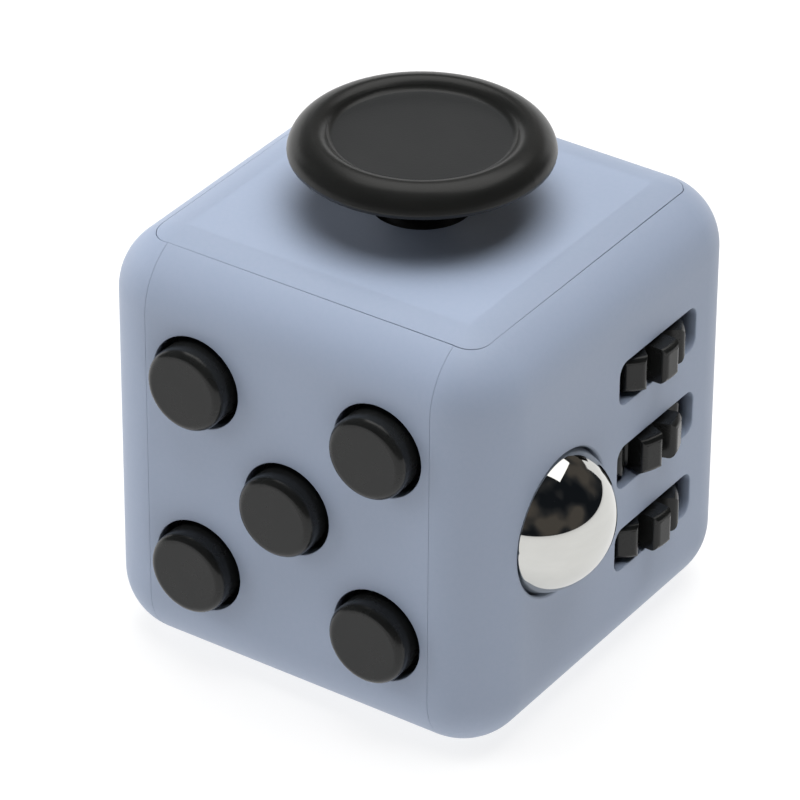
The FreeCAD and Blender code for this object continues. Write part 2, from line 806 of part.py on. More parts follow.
def joystick_stem():
    """The stem, its round dust skirt centred on the pivot, and the foot that the spring pushes."""
    lift = s.pivot_depth
    seat = lift + s.stick_seat - s.seam
    skirt_low = leg(s.skirt_radius, s.skirt_edge)
    foot_top = s.foot_thickness - s.foot_depth
    section = [(0, lift + s.core_top), (s.core_radius, lift + s.core_top), (s.core_radius, seat),
               (s.neck_radius, seat), (s.neck_radius, leg(s.skirt_radius, s.neck_radius), -s.skirt_radius),
               (s.skirt_edge, skirt_low), (s.shaft_radius, skirt_low), (s.shaft_radius, foot_top),
               (s.foot_radius, foot_top), (s.foot_radius, -s.foot_depth), (0, -s.foot_depth)]
    body = turned("joystick_stem", section, (0, 0, PIVOT_Z))
    holes(body, "stem_cross_hole", [(0, 0)], s.cross_pin_radius + s.pin_clearance, -REACH, REACH, "XZ")
    return node(body, "joystick_stem")


def gimbal_ring():
    half = s.gimbal_half
    section = [(s.gimbal_inner, -half), (s.gimbal_outer, -half), (s.gimbal_outer, half),
               (s.gimbal_inner, half)]
    body = turned("gimbal_ring", section, (0, 0, PIVOT_Z))
    holes(body, "trunnion_holes", [(0, 0)], s.trunnion_radius + s.pin_clearance, -REACH, REACH, "YZ")
    holes(body, "cross_pin_holes", [(0, 0)], s.cross_pin_radius, -REACH, REACH, "XZ")
    return node(body, "gimbal_ring")


def pin(name, radius, length, base, toward):
    """A plain round pin that stands on a point."""
    edge = s.pin_edge
    section = [(0, 0), (radius - edge, 0), (radius, edge), (radius, length - edge),
               (radius - edge, length), (0, length)]
    return turned(name, section, base, toward)


def joystick_housing():
    """The cup under the lid that carries the gimbal and closes round the spring."""
    floor = s.cup_floor - s.cup_depth
    top = s.pivot_depth - s.lid_thickness - s.seam
    section = [(0, -s.cup_depth), (s.cup_outer, -s.cup_depth), (s.cup_outer, -s.flange_low),
               (s.flange_reach, -s.flange_low), (s.flange_reach, -s.flange_high),
               (s.cup_outer, -s.flange_high), (s.cup_outer, top), (s.cup_inner, top),
               (s.cup_inner, floor), (0, floor)]
    body = turned("joystick_housing", section, (0, 0, PIVOT_Z))
    pad(body, "housing_ears", lambda sk: circles(sk, EARS, s.ear_radius), -s.flange_low, -s.flange_high)
    holes(body, "housing_ear_holes", EARS, s.screw_hole, -s.flange_low, -s.flange_high)
    holes(body, "housing_trunnion_holes", [(0, 0)], s.trunnion_radius, -REACH, REACH, "YZ")
    return node(body, "joystick_housing")


def joystick_spring():
    """The coil that pushes up on the stem's foot and brings the stick back upright."""
    body = new_body("joystick_spring")
    low = s.cup_floor - s.cup_depth + s.wire_radius + s.spring_gap
    rise = s.cup_depth - s.cup_floor - s.foot_depth - s.wire_radius * 2 - s.spring_gap * 2
    sketch = new_sketch(body, "wire_section", "XZ")
    circles(sketch, [(s.coil_radius, low)], s.wire_radius)
    coil = body.newObject("PartDesign::AdditiveHelix", "coil")
    coil.Profile = sketch
    coil.ReferenceAxis = (sketch, ["V_Axis"])
    coil.Mode = "height-turns-angle"
    bind(coil, "Height", rise)
    bind(coil, "Turns", s.coil_turns)
    place(body, (0, 0, PIVOT_Z))
    return node(body, "joystick_spring")


# Roll: a steel ball in a sprung seat, and three gears on one axle.

def ball_cup():
    """The seat behind the ball, with a pad for the dome and two pegs that guide it."""
    edge = -s.seat_edge
    pad_back = BRACKET_FACE + s.click_height + s.seam - BALL[0]
    section = [(0, pad_back), (s.pad_radius, pad_back),
               (s.pad_radius, -leg(s.seat_outer, s.pad_radius), s.seat_outer),
               (leg(s.seat_outer, s.seat_edge), edge),
               (leg(s.seat_radius, s.seat_edge), edge, -s.seat_radius), (0, -s.seat_radius)]
    body = turned("ball_cup", section, BALL, "+X")
    pegs = [(0, s.peg_offset), (0, -s.peg_offset)]
    peg_top = -leg(s.seat_outer, s.peg_offset) + s.peg_bite
    pad(body, "guide_pegs", lambda sk: circles(sk, pegs, s.peg_radius),
        BRACKET_FACE - BALL[0] - s.peg_reach, peg_top)
    return node(body, "ball_cup")


def roll_bracket():
    """The plate behind the ball and gears, with two ears that hold the axle."""
    body = new_body("roll_bracket")
    slab = bar(-s.bracket_front, -s.bracket_half, s.bracket_back, s.bracket_half, s.bracket_corner)
    pad(body, "bracket_plate", lambda sk: outline(sk, slab), 0, s.bracket_thickness)
    low = s.axle_y - s.ear_half
    high = s.axle_y + s.ear_half
    top = GEARS["upper_gear"] + s.gear_thickness / 2 + s.gear_play
    bottom = GEARS["lower_gear"] - s.gear_thickness / 2 - s.gear_play
    pad(body, "upper_ear", lambda sk: outline(sk, bar(low, top, high, top + s.ear_thickness)),
        0, s.ear_reach)
    pad(body, "lower_ear", lambda sk: outline(sk, bar(low, bottom - s.ear_thickness, high, bottom)),
        0, s.ear_reach)
    holes(body, "axle_holes", [(s.axle_y, s.axle_x - s.bracket_x)], s.axle_radius, -REACH, REACH, "XZ")
    holes(body, "bracket_screw_holes", BRACKET_SCREWS, s.screw_hole, 0, s.bracket_thickness)
    pegs = [(BALL[1], s.peg_offset), (BALL[1], -s.peg_offset)]
    holes(body, "peg_holes", pegs, s.peg_radius + s.running_play, 0, s.bracket_thickness)
    place(body, (s.bracket_x, 0, 0), "+X")
    return node(body, "roll_bracket")


def gear(name, z, phase):
    """A thumb gear with broad block teeth, rounded at their tips and ends."""
    body = new_body(name)
    half = s.gear_thickness / 2
    crest = s.tooth_round
    pad(body, f"{name}_hub", lambda sk: circles(sk, [(0, 0)], s.gear_root), -half, half)
    foot = s.gear_root - s.tooth_bite
    side = s.tooth_tip / 2
    tooth = [(foot, -s.tooth_foot / 2), (s.gear_radius - crest, -side, crest),
             (s.gear_radius, crest - side), (s.gear_radius, side - crest, crest),
             (s.gear_radius - crest, side), (foot, s.tooth_foot / 2)]
    block = pad(body, f"{name}_tooth", lambda sk: outline(sk, tooth), -half, half)
    ring = body.newObject("PartDesign::PolarPattern", f"{name}_teeth")
    ring.Originals = [block]
    ring.Axis = ([f for f in body.Origin.OriginFeatures if f.Role == "Z_Axis"][0], [""])
    ring.Angle = 360
    ring.Occurrences = TEETH
    body.Tip = ring
    for end, face in (("upper", half), ("lower", -half)):
        inward = -crest if end == "upper" else crest
        outward = s.bite if end == "upper" else -s.bite
        bend = crest if end == "upper" else -crest
        sketch = new_sketch(body, f"{name}_{end}_end", "XZ")
        outline(sketch, [(s.gear_radius - crest, face + outward), (s.gear_radius - crest, face, -bend),
                         (s.gear_radius, face + inward), (s.gear_radius + s.bite, face + inward),
                         (s.gear_radius + s.bite, face + outward)])
        groove = body.newObject("PartDesign::Groove", f"{name}_{end}_round")
        groove.Profile = sketch
        groove.ReferenceAxis = (sketch, ["V_Axis"])
        groove.Angle = 360
    holes(body, f"{name}_bore", [(0, 0)], s.gear_bore, -half, half)
    place(body, (s.axle_x, s.axle_y, z), "+Z", phase)
    return node(body, name)


def gear_axle():
    """The headed axle that the three gears turn on."""
    top = GEARS["upper_gear"] + s.gear_thickness / 2 + s.gear_play + s.ear_thickness
    bottom = GEARS["lower_gear"] - s.gear_thickness / 2 - s.gear_play - s.ear_thickness
    end = bottom - s.axle_end
    head = top + s.axle_head
    section = [(0, end), (s.axle_radius - s.axle_edge, end), (s.axle_radius, end + s.axle_edge),
               (s.axle_radius, top), (s.spacer_radius, top), (s.spacer_radius, head), (0, head)]
    bore = s.axle_radius + s.press_play
    clip_low = -s.seam - s.clip_thickness
    clip = [(bore, clip_low), (s.spacer_radius, clip_low), (s.spacer_radius, -s.seam), (bore, -s.seam)]
    node(turned("gear_axle", section, (s.axle_x, s.axle_y, size(0))), "gear_axle")
    node(turned("axle_clip", clip, (s.axle_x, s.axle_y, bottom)), "axle_clip")


def gear_spacer(name, below, above):
    """A tube on the axle between two gears."""
    low = GEARS[below] + s.gear_thickness / 2 + s.gear_play
    high = GEARS[above] - s.gear_thickness / 2 - s.gear_play
    bore = s.axle_radius + s.press_play
    section = [(bore, low), (s.spacer_radius, low), (s.spacer_radius, high), (bore, high)]
    return node(turned(name, section, (s.axle_x, s.axle_y, size(0))), name)


# Spin: a dial with an off-centre nub, held from inside by a washer and a screw.

def spin_dial():
    edge = s.dial_edge
    shaft_end = -s.dial_floor - s.dial_play
    section = [(0, 0), (s.dial_radius - edge, 0, -edge), (s.dial_radius, -edge),
               (s.dial_radius, -s.dial_thickness), (s.dial_shaft, -s.dial_thickness),
               (s.dial_shaft, shaft_end), (0, shaft_end)]
    body = turned("spin_dial", section, (0, HALF, 0), "+Y")
    top = s.cap_proud
    flank = top - s.nub_round
    nub = new_sketch(body, "nub_section", "XZ")
    across = s.nub_radius
    outline(nub, [(s.nub_offset, -s.bite), (s.nub_offset + across, -s.bite),
                  (s.nub_offset + across, flank, s.nub_round),
                  (s.nub_offset + across - s.nub_round, top), (s.nub_offset, top)])
    turn = body.newObject("PartDesign::Revolution", "nub")
    turn.Profile = nub
    turn.ReferenceAxis = (nub, ["Edge5"])
    turn.Angle = 360
    holes(body, "dial_screw_hole", [(0, 0)], s.pilot_radius, shaft_end, -s.dial_face)
    return node(body, "spin_dial")


def dial_fixings():
    seat = HALF - s.dial_floor - s.dial_play
    bore = s.pilot_radius + s.seam
    washer = [(bore, -s.washer_thickness), (s.washer_radius, -s.washer_thickness),
              (s.washer_radius, 0), (bore, 0)]
    node(turned("dial_washer", washer, (0, seat, 0), "+Y"), "dial_washer")
    node(screw("dial_screw_body", (0, seat - s.washer_thickness, 0), "+Y"), "dial_screw")


# Flip: a rocker that rests on either end.

def inverse(kind, opposite, hypotenuse):
    """An angle in degrees from two sides of a right triangle; kind is asin or acos."""
    degrees = math.degrees(getattr(math, kind)(opposite.number / hypotenuse.number))
    return Size(degrees, f"({kind}({opposite.text} / {hypotenuse.text}) / 1deg)")


def polar(radius, degrees):
    """A point of a circle about the rocker's pivot."""
    turn = f"{degrees.text} * 1deg"
    angle = math.radians(degrees.number)
    return (Size(radius.number * math.cos(angle), f"({radius.text} * cos({turn}))"),
            Size(radius.number * math.sin(angle), f"({radius.text} * sin({turn}))"))


def rocker_switch():
    """The paddle. Its outward side is its own +X, and it rests with its upper end out."""
    reach = s.rocker_reach
    lowered = inverse("acos", s.rocker_pivot, reach)
    raised = inverse("acos", s.rocker_pivot + s.rocker_proud, reach)
    corner = (lowered + raised) / 2
    face_x, face_y = polar(reach, corner)
    foot_x, foot_y = polar(reach, s.rocker_foot)
    rise = face_x - s.rocker_waist
    bow = (rise * rise + face_y * face_y) / (rise * 2)
    hub = s.rocker_hub
    section = [(face_x, face_y, reach), (foot_x, foot_y), (-hub, s.hub_half),
               (-s.rocker_nose, s.nose_half, s.nose_round), (-s.rocker_nose, -s.nose_half),
               (-hub, -s.hub_half), (foot_x, -foot_y, reach), (face_x, -face_y, -bow)]
    body = new_body("rocker_switch")
    half = s.rocker_width / 2
    pad(body, "paddle", lambda sk: outline(sk, section), -half, half)
    holes(body, "paddle_bore", [(0, 0)], s.rocker_pin + s.running_play, -half, half)
    place(body, (PIVOT_X, 0, 0), "+Y", raised.number - corner.number)
    print(f"the rocker turns {lowered.number - raised.number:.2f} degrees")
    return node(body, "rocker_switch")


def rocker_bracket():
    """A strap across the back of the rocker, with two cheeks that carry its pin."""
    body = new_body("rocker_bracket")
    half = s.strap_half
    pad(body, "strap", lambda sk: outline(sk, bar(-half, -s.strap_reach, half, s.strap_reach)),
        0, s.strap_thickness)
    wide = s.cheek_outer
    tall = s.cheek_half
    pad(body, "bridge", lambda sk: outline(sk, bar(-wide, -tall, wide, tall)), 0, s.strap_thickness)
    depth = HALF - s.wall - s.strap_x - s.fit_play
    pad(body, "left_cheek", lambda sk: outline(sk, bar(-wide, -tall, -s.cheek_inner, tall)), 0, depth)
    pad(body, "right_cheek", lambda sk: outline(sk, bar(s.cheek_inner, -tall, wide, tall)), 0, depth)
    holes(body, "pin_holes", [(0, -PIVOT_X - s.strap_x)], s.rocker_pin, -REACH, REACH, "YZ")
    holes(body, "strap_screw_holes", [(0, s.rocker_screw), (0, -s.rocker_screw)], s.screw_hole,
          0, s.strap_thickness)
    place(body, (-s.strap_x, 0, 0), "-X")
    return node(body, "rocker_bracket")


def rocker_detent():
    """An arched leaf spring on the strap that snaps the rocker over its nose."""
    body = new_body("rocker_detent_spring")
    half = s.leaf_half
    bow = (s.leaf_rise * s.leaf_rise + half * half) / (s.leaf_rise * 2)
    inner = leg(bow - s.leaf_thickness, bow - s.leaf_rise)
    arch = [(0, -half, bow), (0, half), (0, inner, s.leaf_thickness - bow), (0, -inner)]
    pad(body, "leaf", lambda sk: outline(sk, arch), -s.leaf_width / 2, s.leaf_width / 2)
    place(body, (-s.strap_x - s.strap_thickness - s.spring_gap, 0, 0), "+Y")
    return node(body, "rocker_detent_spring")


# The assembly, face by face.

def housing():
    front_panel()
    back_panel()
    right_shell()
    left_shell()
    top_lid()
    bottom_lid()


def click_face():
    dome_seat = s.plate_depth - HALF
    for key, (x, z) in BUTTONS.items():
        button_cap(f"button_{key}", x, z)
        sheet = s.silicone_sheet if key in SILENT_BUTTONS else s.dome_sheet
        dome(f"dome_{key}", s.dome_radius, s.dome_height, sheet, (x, dome_seat, z), "-Y")
    backing_plate()
    inner_face = s.plate_depth + s.plate_thickness - HALF
    screws("backing_plate_screws", [(x, inner_face, z) for x, z in PLATE_SCREWS], "-Y")


def glide_face():
    joystick_cap()
    joystick_stem()
    gimbal_ring()
    reach = s.gimbal_outer - s.seam
    node(pin("gimbal_cross_pin", s.cross_pin_radius, reach * 2, (0, -reach, PIVOT_Z), "+Y"),
         "gimbal_cross_pin")
    length = s.cup_outer - s.gimbal_inner - s.fit_play * 2
    start = s.gimbal_inner + s.fit_play
    group("gimbal_trunnion_pins", [
        pin("left_trunnion", s.trunnion_radius, length, (-start, 0, PIVOT_Z), "-X"),
        pin("right_trunnion", s.trunnion_radius, length, (start, 0, PIVOT_Z), "+X")])
    joystick_housing()
    joystick_spring()
    screws("joystick_housing_screws", [(x, y, PIVOT_Z - s.flange_low) for x, y in EARS], "+Z")


def roll_face():
    node(sphere("roller_ball", BALL, s.ball_radius), "roller_ball")
    ball_cup()
    dome("ball_click_dome", s.click_radius, s.click_height, s.dome_sheet,
         (BRACKET_FACE, BALL[1], BALL[2]), "+X")
    roll_bracket()
    screws("roll_bracket_screws", [(s.bracket_x, y, z) for y, z in BRACKET_SCREWS], "+X")
    for name, z in GEARS.items():
        gear(name, z, GEAR_PHASE[name])
    gear_axle()
    gear_spacer("upper_spacer", "middle_gear", "upper_gear")
    gear_spacer("lower_spacer", "lower_gear", "middle_gear")


def spin_face():
    spin_dial()
    dial_fixings()


def flip_face():
    rocker_switch()
    length = s.cheek_outer
    node(pin("rocker_pin", s.rocker_pin, length * 2, (PIVOT_X, -length, 0), "+Y"), "rocker_pin")
    rocker_bracket()
    rocker_detent()
    seats = [(-s.strap_x, 0, s.rocker_screw), (-s.strap_x, 0, -s.rocker_screw)]
    screws("rocker_bracket_screws", seats, "-X")


def write_nodes():
    """Checks every object and writes one file for each finished piece."""
    doc.recompute()
    for thing in doc.Objects:
        if "Invalid" in thing.State or "Error" in thing.State:
            raise RuntimeError(f"{thing.Name} failed: {thing.State}")
    os.makedirs("parts", exist_ok=True)
    for thing in NODES:
        shape = thing.Shape
        if shape.isNull() or not shape.isValid() or not shape.Solids:
            raise RuntimeError(f"{thing.Label} has no valid solid")
        if len(shape.Solids) > 1 and thing.TypeId != "Part::Compound":
            raise RuntimeError(f"{thing.Label} is in {len(shape.Solids)} pieces")
        shape.exportStep(f"parts/{thing.Label}.step")
    print(f"{len(NODES)} nodes written")


housing()
click_face()
glide_face()
roll_face()
spin_face()
flip_face()
write_nodes()
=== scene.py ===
"""The looks of a fidget cube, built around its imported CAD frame. Lengths are in metres."""

import json
import math

import bmesh
import bpy
from mathutils import Matrix, Vector
from mathutils.bvhtree import BVHTree

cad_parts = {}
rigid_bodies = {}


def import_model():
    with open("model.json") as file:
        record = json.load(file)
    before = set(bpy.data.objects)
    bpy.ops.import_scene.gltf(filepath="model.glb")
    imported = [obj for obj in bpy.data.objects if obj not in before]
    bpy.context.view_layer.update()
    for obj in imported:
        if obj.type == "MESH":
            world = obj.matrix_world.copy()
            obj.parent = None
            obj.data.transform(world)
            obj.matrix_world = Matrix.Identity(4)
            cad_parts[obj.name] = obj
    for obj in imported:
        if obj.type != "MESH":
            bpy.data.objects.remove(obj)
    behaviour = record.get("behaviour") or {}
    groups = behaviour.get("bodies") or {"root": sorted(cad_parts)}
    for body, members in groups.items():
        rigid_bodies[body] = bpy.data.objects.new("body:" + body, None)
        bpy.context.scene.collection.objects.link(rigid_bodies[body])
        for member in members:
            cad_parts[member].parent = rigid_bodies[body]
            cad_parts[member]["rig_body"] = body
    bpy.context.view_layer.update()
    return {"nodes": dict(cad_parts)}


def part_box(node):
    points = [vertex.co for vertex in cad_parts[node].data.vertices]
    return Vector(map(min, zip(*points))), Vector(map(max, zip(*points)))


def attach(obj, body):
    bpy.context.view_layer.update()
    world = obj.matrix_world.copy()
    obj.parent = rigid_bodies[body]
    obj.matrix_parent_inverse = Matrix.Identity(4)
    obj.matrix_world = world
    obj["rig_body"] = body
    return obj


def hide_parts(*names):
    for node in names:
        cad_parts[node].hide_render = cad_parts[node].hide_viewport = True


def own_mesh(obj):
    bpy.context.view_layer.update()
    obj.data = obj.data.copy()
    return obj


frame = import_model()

MM = 0.001
NODES = frame["nodes"]


# ---------------------------------------------------------------- places read from the frame


def middle(*names):
    """The centre of the box round some CAD nodes."""
    corners = [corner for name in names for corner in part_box(name)]
    low = Vector(min(c[i] for c in corners) for i in range(3))
    high = Vector(max(c[i] for c in corners) for i in range(3))
    return (low + high) / 2


SHELLS = ("right_shell", "left_shell", "front_panel", "back_panel", "top_lid", "bottom_lid")
CUBE_MIDDLE = middle("top_lid", "bottom_lid")
CUBE_HALF = (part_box("top_lid")[1].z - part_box("bottom_lid")[0].z) / 2
STICK_MIDDLE = middle("joystick_cap")
STICK_RADIUS = (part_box("joystick_cap")[1].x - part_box("joystick_cap")[0].x) / 2


# ---------------------------------------------------------------- small helpers


def linked(name, data):
    """A new object in the scene."""
    made = bpy.data.objects.new(name, data)
    bpy.context.scene.collection.objects.link(made)
    return made


def mesh_from(bm, name):
    """A mesh from a finished bmesh, which is freed."""
    mesh = bpy.data.meshes.new(name)
    bm.to_mesh(mesh)
    bm.free()
    return mesh


def towards(azimuth, elevation):
    """A unit vector: azimuth 0 is -Y, the front, and turns towards +X."""
    az, el = math.radians(azimuth), math.radians(elevation)
    return Vector((math.sin(az) * math.cos(el), -math.cos(az) * math.cos(el), math.sin(el)))


# ---------------------------------------------------------------- materials

COMMON = (0.3, 0.7)       # most of a noise's values lie between these
MIX_AMOUNT, MIX_FIRST, MIX_SECOND, MIX_RESULT = 0, 6, 7, 2     # a Mix node's sockets for colours

WEAR_AND_SHEEN_WIDTH = 4 * MM       # the nearness to a face of the cube rises from 0 to 1 within this
WEAR_AND_SHEEN_STARTS, WEAR_AND_SHEEN_FULL = 1.0, 1.8     # summed nearness: 1 on one open face, more near a second
SHEEN_TINT = 0.2           # how much of the lighter colour is mixed in near the edges: a painted sheen
WEAR_POLISH = 0.08        # how much smoother a worn edge is


class Paint:
    """One node-based material: a Principled shader and the nodes that feed it."""

    def __init__(self, name, **constants):
        """constants are the shader's fixed inputs, with _ for the spaces in their names."""
        self.material = bpy.data.materials.new(name)
        self.material.use_nodes = True
        self.tree = self.material.node_tree
        self.shader = self.tree.nodes["Principled BSDF"]
        for socket, value in constants.items():
            self.shader.inputs[socket.replace("_", " ")].default_value = value
        self.place = self.tree.nodes.new("ShaderNodeTexCoord").outputs["Object"]

    def fill(self, socket, value):
        """Links a socket to another one, or gives it a fixed value."""
        if isinstance(value, bpy.types.NodeSocket):
            self.tree.links.new(value, socket)
        else:
            socket.default_value = value

    def node(self, kind, inputs=(), **settings):
        """A new node with its settings and inputs filled in."""
        made = self.tree.nodes.new(kind)
        for name, value in settings.items():
            setattr(made, name, value)
        for socket, value in dict(inputs).items():
            self.fill(made.inputs[socket], value)
        return made

    def maths(self, operation, first, second=0.0):
        """The result of a Math node."""
        return self.node("ShaderNodeMath", {0: first, 1: second}, operation=operation).outputs[0]

    def noise(self, grain, detail=2.0, stretch=(1, 1, 1)):
        """Noise from 0 to 1 whose spots are about as large as grain."""
        across = self.node("ShaderNodeMapping", {"Vector": self.place, "Scale": stretch})
        inputs = {"Vector": across.outputs[0], "Scale": 1 / grain, "Detail": detail}
        return self.node("ShaderNodeTexNoise", inputs).outputs["Fac"]

    def spread(self, value, low, high, start=0.0, end=1.0):
        """value moved from low..high to start..end, smoothly, and held there."""
        inputs = {"Value": value, "From Min": low, "From Max": high, "To Min": start, "To Max": end}
        made = self.node("ShaderNodeMapRange", inputs, interpolation_type="SMOOTHSTEP")
        return made.outputs["Result"]

    def colour_between(self, amount, first, second):
        """A colour between two colours or colour sockets."""
        made = self.node("ShaderNodeMix", {MIX_AMOUNT: amount}, data_type="RGBA")
        for socket, colour in ((MIX_FIRST, first), (MIX_SECOND, second)):
            fixed = isinstance(colour, tuple)
            self.fill(made.inputs[socket], (*colour, 1) if fixed else colour)
        return made.outputs[MIX_RESULT]

    def mottle(self, pattern, dark, light, smooth, rough, band=COMMON):
        """Colour and roughness that both follow one pattern; the roughness changes within band."""
        self.set("Base Color", self.colour_between(pattern, dark, light))
        self.set("Roughness", self.spread(pattern, *band, smooth, rough))

    def relief(self, heights):
        """Bump from a list of (height from 0 to 1, depth in metres)."""
        normal = None
        for height, depth in heights:
            inputs = {"Height": height, "Distance": depth, "Strength": 1.0}
            if normal:
                inputs["Normal"] = normal
            normal = self.node("ShaderNodeBump", inputs).outputs["Normal"]
        self.set("Normal", normal)

    def set(self, socket, value):
        """Feeds one of the shader's inputs."""
        self.tree.links.new(value, self.shader.inputs[socket])


def away(paint, axis):
    """How far a point is from the middle of the cube along one axis."""
    parts = paint.node("ShaderNodeSeparateXYZ", {0: paint.place})
    shifted = paint.maths("SUBTRACT", parts.outputs[axis], CUBE_MIDDLE[axis])
    return paint.maths("ABSOLUTE", shifted)


def worn_and_sheened_edges(paint):
    """0 on the open faces of the cube and 1 near its edges, which fingers have rubbed smoother and which
    are painted lighter as a sheen.
    """
    closeness = None
    for axis in range(3):
        one = paint.spread(away(paint, axis), CUBE_HALF - WEAR_AND_SHEEN_WIDTH, CUBE_HALF)
        closeness = one if closeness is None else paint.maths("ADD", closeness, one)
    return paint.spread(closeness, WEAR_AND_SHEEN_STARTS, WEAR_AND_SHEEN_FULL)


def shell_plastic():
    """Matte periwinkle ABS: fine mould grain, faint mottling, edges polished by handling and painted
    lighter as a sheen.
    """
    dark, light = (0.322, 0.383, 0.500), (0.338, 0.398, 0.515)
    speckled, speckle_strength = (0.37, 0.415, 0.53), 0.25
    # the lighter colour painted on the edges as a sheen
    sheen_colour = (0.37, 0.42, 0.54)
    smooth, rough = 0.47, 0.55
    grain, grain_depth = 0.14 * MM, 0.002 * MM
    swell, swell_depth = 6 * MM, 0.012 * MM
    cloud_size, speck_size = 9 * MM, 0.35 * MM
    paint = Paint("shell_plastic", IOR=1.46)
    cloud = paint.noise(cloud_size, detail=3)
    speck = paint.noise(speck_size)
    wear_and_sheen = worn_and_sheened_edges(paint)
    tint = paint.colour_between(cloud, dark, light)
    tint = paint.colour_between(paint.spread(speck, *COMMON, 0, speckle_strength), tint, speckled)
    # painted sheen: the edges are mixed towards the lighter colour
    tint = paint.colour_between(paint.maths("MULTIPLY", wear_and_sheen, SHEEN_TINT), tint, sheen_colour)
    paint.set("Base Color", tint)
    matte = paint.spread(cloud, 0.25, 0.75, smooth, rough)
    polish = paint.maths("MULTIPLY", wear_and_sheen, WEAR_POLISH)
    paint.set("Roughness", paint.maths("SUBTRACT", matte, polish))
    paint.relief([(paint.noise(grain), grain_depth), (paint.noise(swell), swell_depth)])
    return paint.material


def black_plastic(name, grain, depth, rough):
    """Black satin ABS of the buttons, gears, dial and rocker."""
    dark, light = (0.0085, 0.009, 0.009), (0.013, 0.0135, 0.013)
    paint = Paint(name, Specular_IOR_Level=0.32)
    paint.mottle(paint.noise(1.8 * MM, detail=3), dark, light, rough, rough + 0.1)
    paint.relief([(paint.noise(grain), depth)])
    return paint.material


def stick_rubber():
    """The joystick cap: a soft-touch rubber, paler and rougher in the thumb's hollow."""
    rim_dark, rim_light = (0.009, 0.0092, 0.0088), (0.013, 0.0132, 0.0125)
    thumb_dark, thumb_light = (0.041, 0.0435, 0.047), (0.049, 0.0515, 0.055)
    rim_rough, thumb_rough = 0.3, 0.72
    outside, inside = 0.69 * STICK_RADIUS, 0.66 * STICK_RADIUS     # the edge of the hollow
    grain, grain_depth = 0.16 * MM, 0.006 * MM
    paint = Paint("stick_rubber", Specular_IOR_Level=0.3)
    parts = paint.node("ShaderNodeSeparateXYZ", {0: paint.place})
    flat = [paint.maths("SUBTRACT", parts.outputs[i], STICK_MIDDLE[i]) for i in (0, 1)]
    squares = [paint.maths("MULTIPLY", part, part) for part in flat]
    radius = paint.maths("SQRT", paint.maths("ADD", *squares))
    high = paint.spread(parts.outputs[2], STICK_MIDDLE.z, STICK_MIDDLE.z + 2 * MM)
    hollow = paint.maths("MULTIPLY", paint.spread(radius, outside, inside), high)
    cloud = paint.noise(2.5 * MM, detail=3)
    rim = paint.colour_between(cloud, rim_dark, rim_light)
    thumb = paint.colour_between(cloud, thumb_dark, thumb_light)
    paint.set("Base Color", paint.colour_between(hollow, rim, thumb))
    paint.set("Roughness", paint.spread(hollow, 0.0, 1.0, rim_rough, thumb_rough))
    paint.relief([(paint.noise(grain), grain_depth)])
    return paint.material


def chrome():
    """The polished steel ball, with faint smears of handling."""
    dark, light = (0.54, 0.54, 0.52), (0.60, 0.60, 0.58)
    smooth, rough = 0.03, 0.08
    paint = Paint("ball_steel", Metallic=1.0)
    smear = paint.noise(2.2 * MM, detail=4, stretch=(1, 1, 2.5))
    paint.mottle(smear, dark, light, smooth, rough, band=(0.45, 0.75))
    return paint.material


def metal(name, dark, light, rough, grain):
    """Plated or spring steel with fine drawing marks."""
    paint = Paint(name, Metallic=1.0)
    marks = paint.noise(grain, detail=3, stretch=(1, 1, 6))
    paint.mottle(marks, dark, light, rough, rough + 0.15)
    paint.relief([(marks, 0.002 * MM)])
    return paint.material


def inner_plastic(name, dark, light, rough):
    """Unpainted inner mouldings, which keep the marks of the tool."""
    grain, grain_depth = 0.2 * MM, 0.004 * MM
    paint = Paint(name, IOR=1.48)
    paint.mottle(paint.noise(3 * MM, detail=4), dark, light, rough, rough + 0.12)
    paint.relief([(paint.noise(grain), grain_depth)])
    return paint.material


def silicone():
    """The translucent rubber of the two quiet domes."""
    dark, light = (0.62, 0.63, 0.62), (0.70, 0.71, 0.69)
    smooth, rough = 0.42, 0.52
    depth = {"Subsurface_Weight": 0.4, "Subsurface_Radius": (1.0, 0.9, 0.8), "Subsurface_Scale": 0.6 * MM}
    grain, grain_depth = 0.12 * MM, 0.002 * MM
    paint = Paint("silicone", IOR=1.41, **depth)
    paint.mottle(paint.noise(1.5 * MM), dark, light, smooth, rough)
    paint.relief([(paint.noise(grain), grain_depth)])
    return paint.material


# the darker and the lighter colour of each
STEM_BLACK = (0.010, 0.0102, 0.0105), (0.015, 0.0152, 0.0155)
NATURAL_NYLON = (0.66, 0.65, 0.61), (0.72, 0.71, 0.67)
SPRING_GREY = (0.45, 0.46, 0.48), (0.60, 0.61, 0.62)
PLATE_GREY = (0.50, 0.49, 0.47), (0.66, 0.65, 0.62)

FINISHES = {
    "shell": shell_plastic(),
    "control_plastic": black_plastic("control_plastic", grain=0.12 * MM, depth=0.0012 * MM, rough=0.19),
    "stick_rubber": stick_rubber(),
    "stem_plastic": inner_plastic("stem_plastic", *STEM_BLACK, rough=0.34),
    "inner_plastic": inner_plastic("inner_plastic", *NATURAL_NYLON, rough=0.42),
    "ball_steel": chrome(),
    "spring_steel": metal("spring_steel", *SPRING_GREY, rough=0.22, grain=0.5 * MM),
    "silicone": silicone(),
    "steel": metal("steel", *PLATE_GREY, rough=0.26, grain=0.3 * MM),
}


# ---------------------------------------------------------------- meshes

